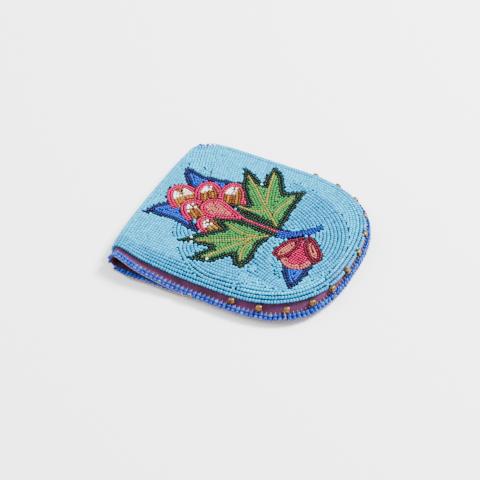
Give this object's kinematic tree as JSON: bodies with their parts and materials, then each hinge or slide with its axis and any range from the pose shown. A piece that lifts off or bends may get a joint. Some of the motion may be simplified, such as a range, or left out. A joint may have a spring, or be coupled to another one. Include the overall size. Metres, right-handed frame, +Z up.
{
  "type": "beaded belt pouch",
  "caption": "Flat cloth belt pouch with a folded-over rounded flap, beaded all over with leaves, petals and a blossom, and a beaded edging.",
  "frame": {"origin": "middle of the pouch's bounding box, at the level of the back's outer face", "axes": "+X from the fold to the flap's rounded end, +Y across the flap, +Z up off the flap's beads"},
  "size_m": [0.1102, 0.1014, 0.0102],
  "materials": {
    "purple_wool": "felted wool cloth, matt",
    "sky_beads": "opaque seed beads, glossy",
    "edge_blue_beads": "seed beads, glossy",
    "dark_green_beads": "seed beads, glossy",
    "leaf_green_beads": "opaque seed beads, glossy",
    "straw_beads": "seed beads, glossy",
    "navy_beads": "seed beads, glossy",
    "royal_beads": "seed beads, glossy",
    "pink_beads": "seed beads, glossy",
    "rose_beads": "seed beads, glossy",
    "salmon_beads": "opaque seed beads, glossy",
    "white_beads": "opaque seed beads, glossy",
    "amber_beads": "seed beads, glossy",
    "brass": "dull aged brass"
  },
  "bodies": {
    "root": {"outer_cloth": "purple_wool", "pocket_front": "purple_wool", "ground_beadwork": "sky_beads", "flap_edging": "edge_blue_beads", "pocket_edging": "edge_blue_beads", "upper_blue_leaf_rim": "navy_beads", "upper_blue_leaf_field": "royal_beads", "lower_blue_leaf_rim": "navy_beads", "lower_blue_leaf_field": "royal_beads", "petal_1_rim": "pink_beads", "petal_1_white": "white_beads", "petal_1_amber": "amber_beads", "petal_2_rim": "pink_beads", "petal_2_white": "white_beads", "petal_2_amber": "amber_beads", "petal_3_rim": "pink_beads", "petal_3_white": "white_beads", "petal_3_amber": "amber_beads", "petal_4_rim": "pink_beads", "petal_4_white": "white_beads", "petal_4_amber": "amber_beads", "petal_5_rim": "pink_beads", "petal_5_white": "white_beads", "petal_5_amber": "amber_beads", "teardrop_petal_rim": "pink_beads", "teardrop_petal_field": "salmon_beads", "upper_leaf_rim": "dark_green_beads", "upper_leaf_field": "leaf_green_beads", "upper_leaf_veins": "straw_beads", "lower_leaf_rim": "dark_green_beads", "lower_leaf_field": "leaf_green_beads", "lower_leaf_veins": "straw_beads", "stem": "royal_beads", "blossom_tip_rim": "navy_beads", "blossom_tip_field": "royal_beads", "blossom_lip": "salmon_beads", "blossom_middle": "pink_beads", "blossom_left_petal_rim": "rose_beads", "blossom_left_petal_field": "salmon_beads", "blossom_right_petal_rim": "rose_beads", "blossom_right_petal_field": "salmon_beads", "brass_bead_01": "brass", "brass_bead_02": "brass", "brass_bead_03": "brass", "brass_bead_04": "brass", "brass_bead_05": "brass", "brass_bead_06": "brass", "brass_bead_07": "brass", "brass_bead_08": "brass", "brass_bead_09": "brass", "brass_bead_10": "brass", "brass_bead_11": "brass", "brass_bead_12": "brass"}
  },
  "joints": []
}
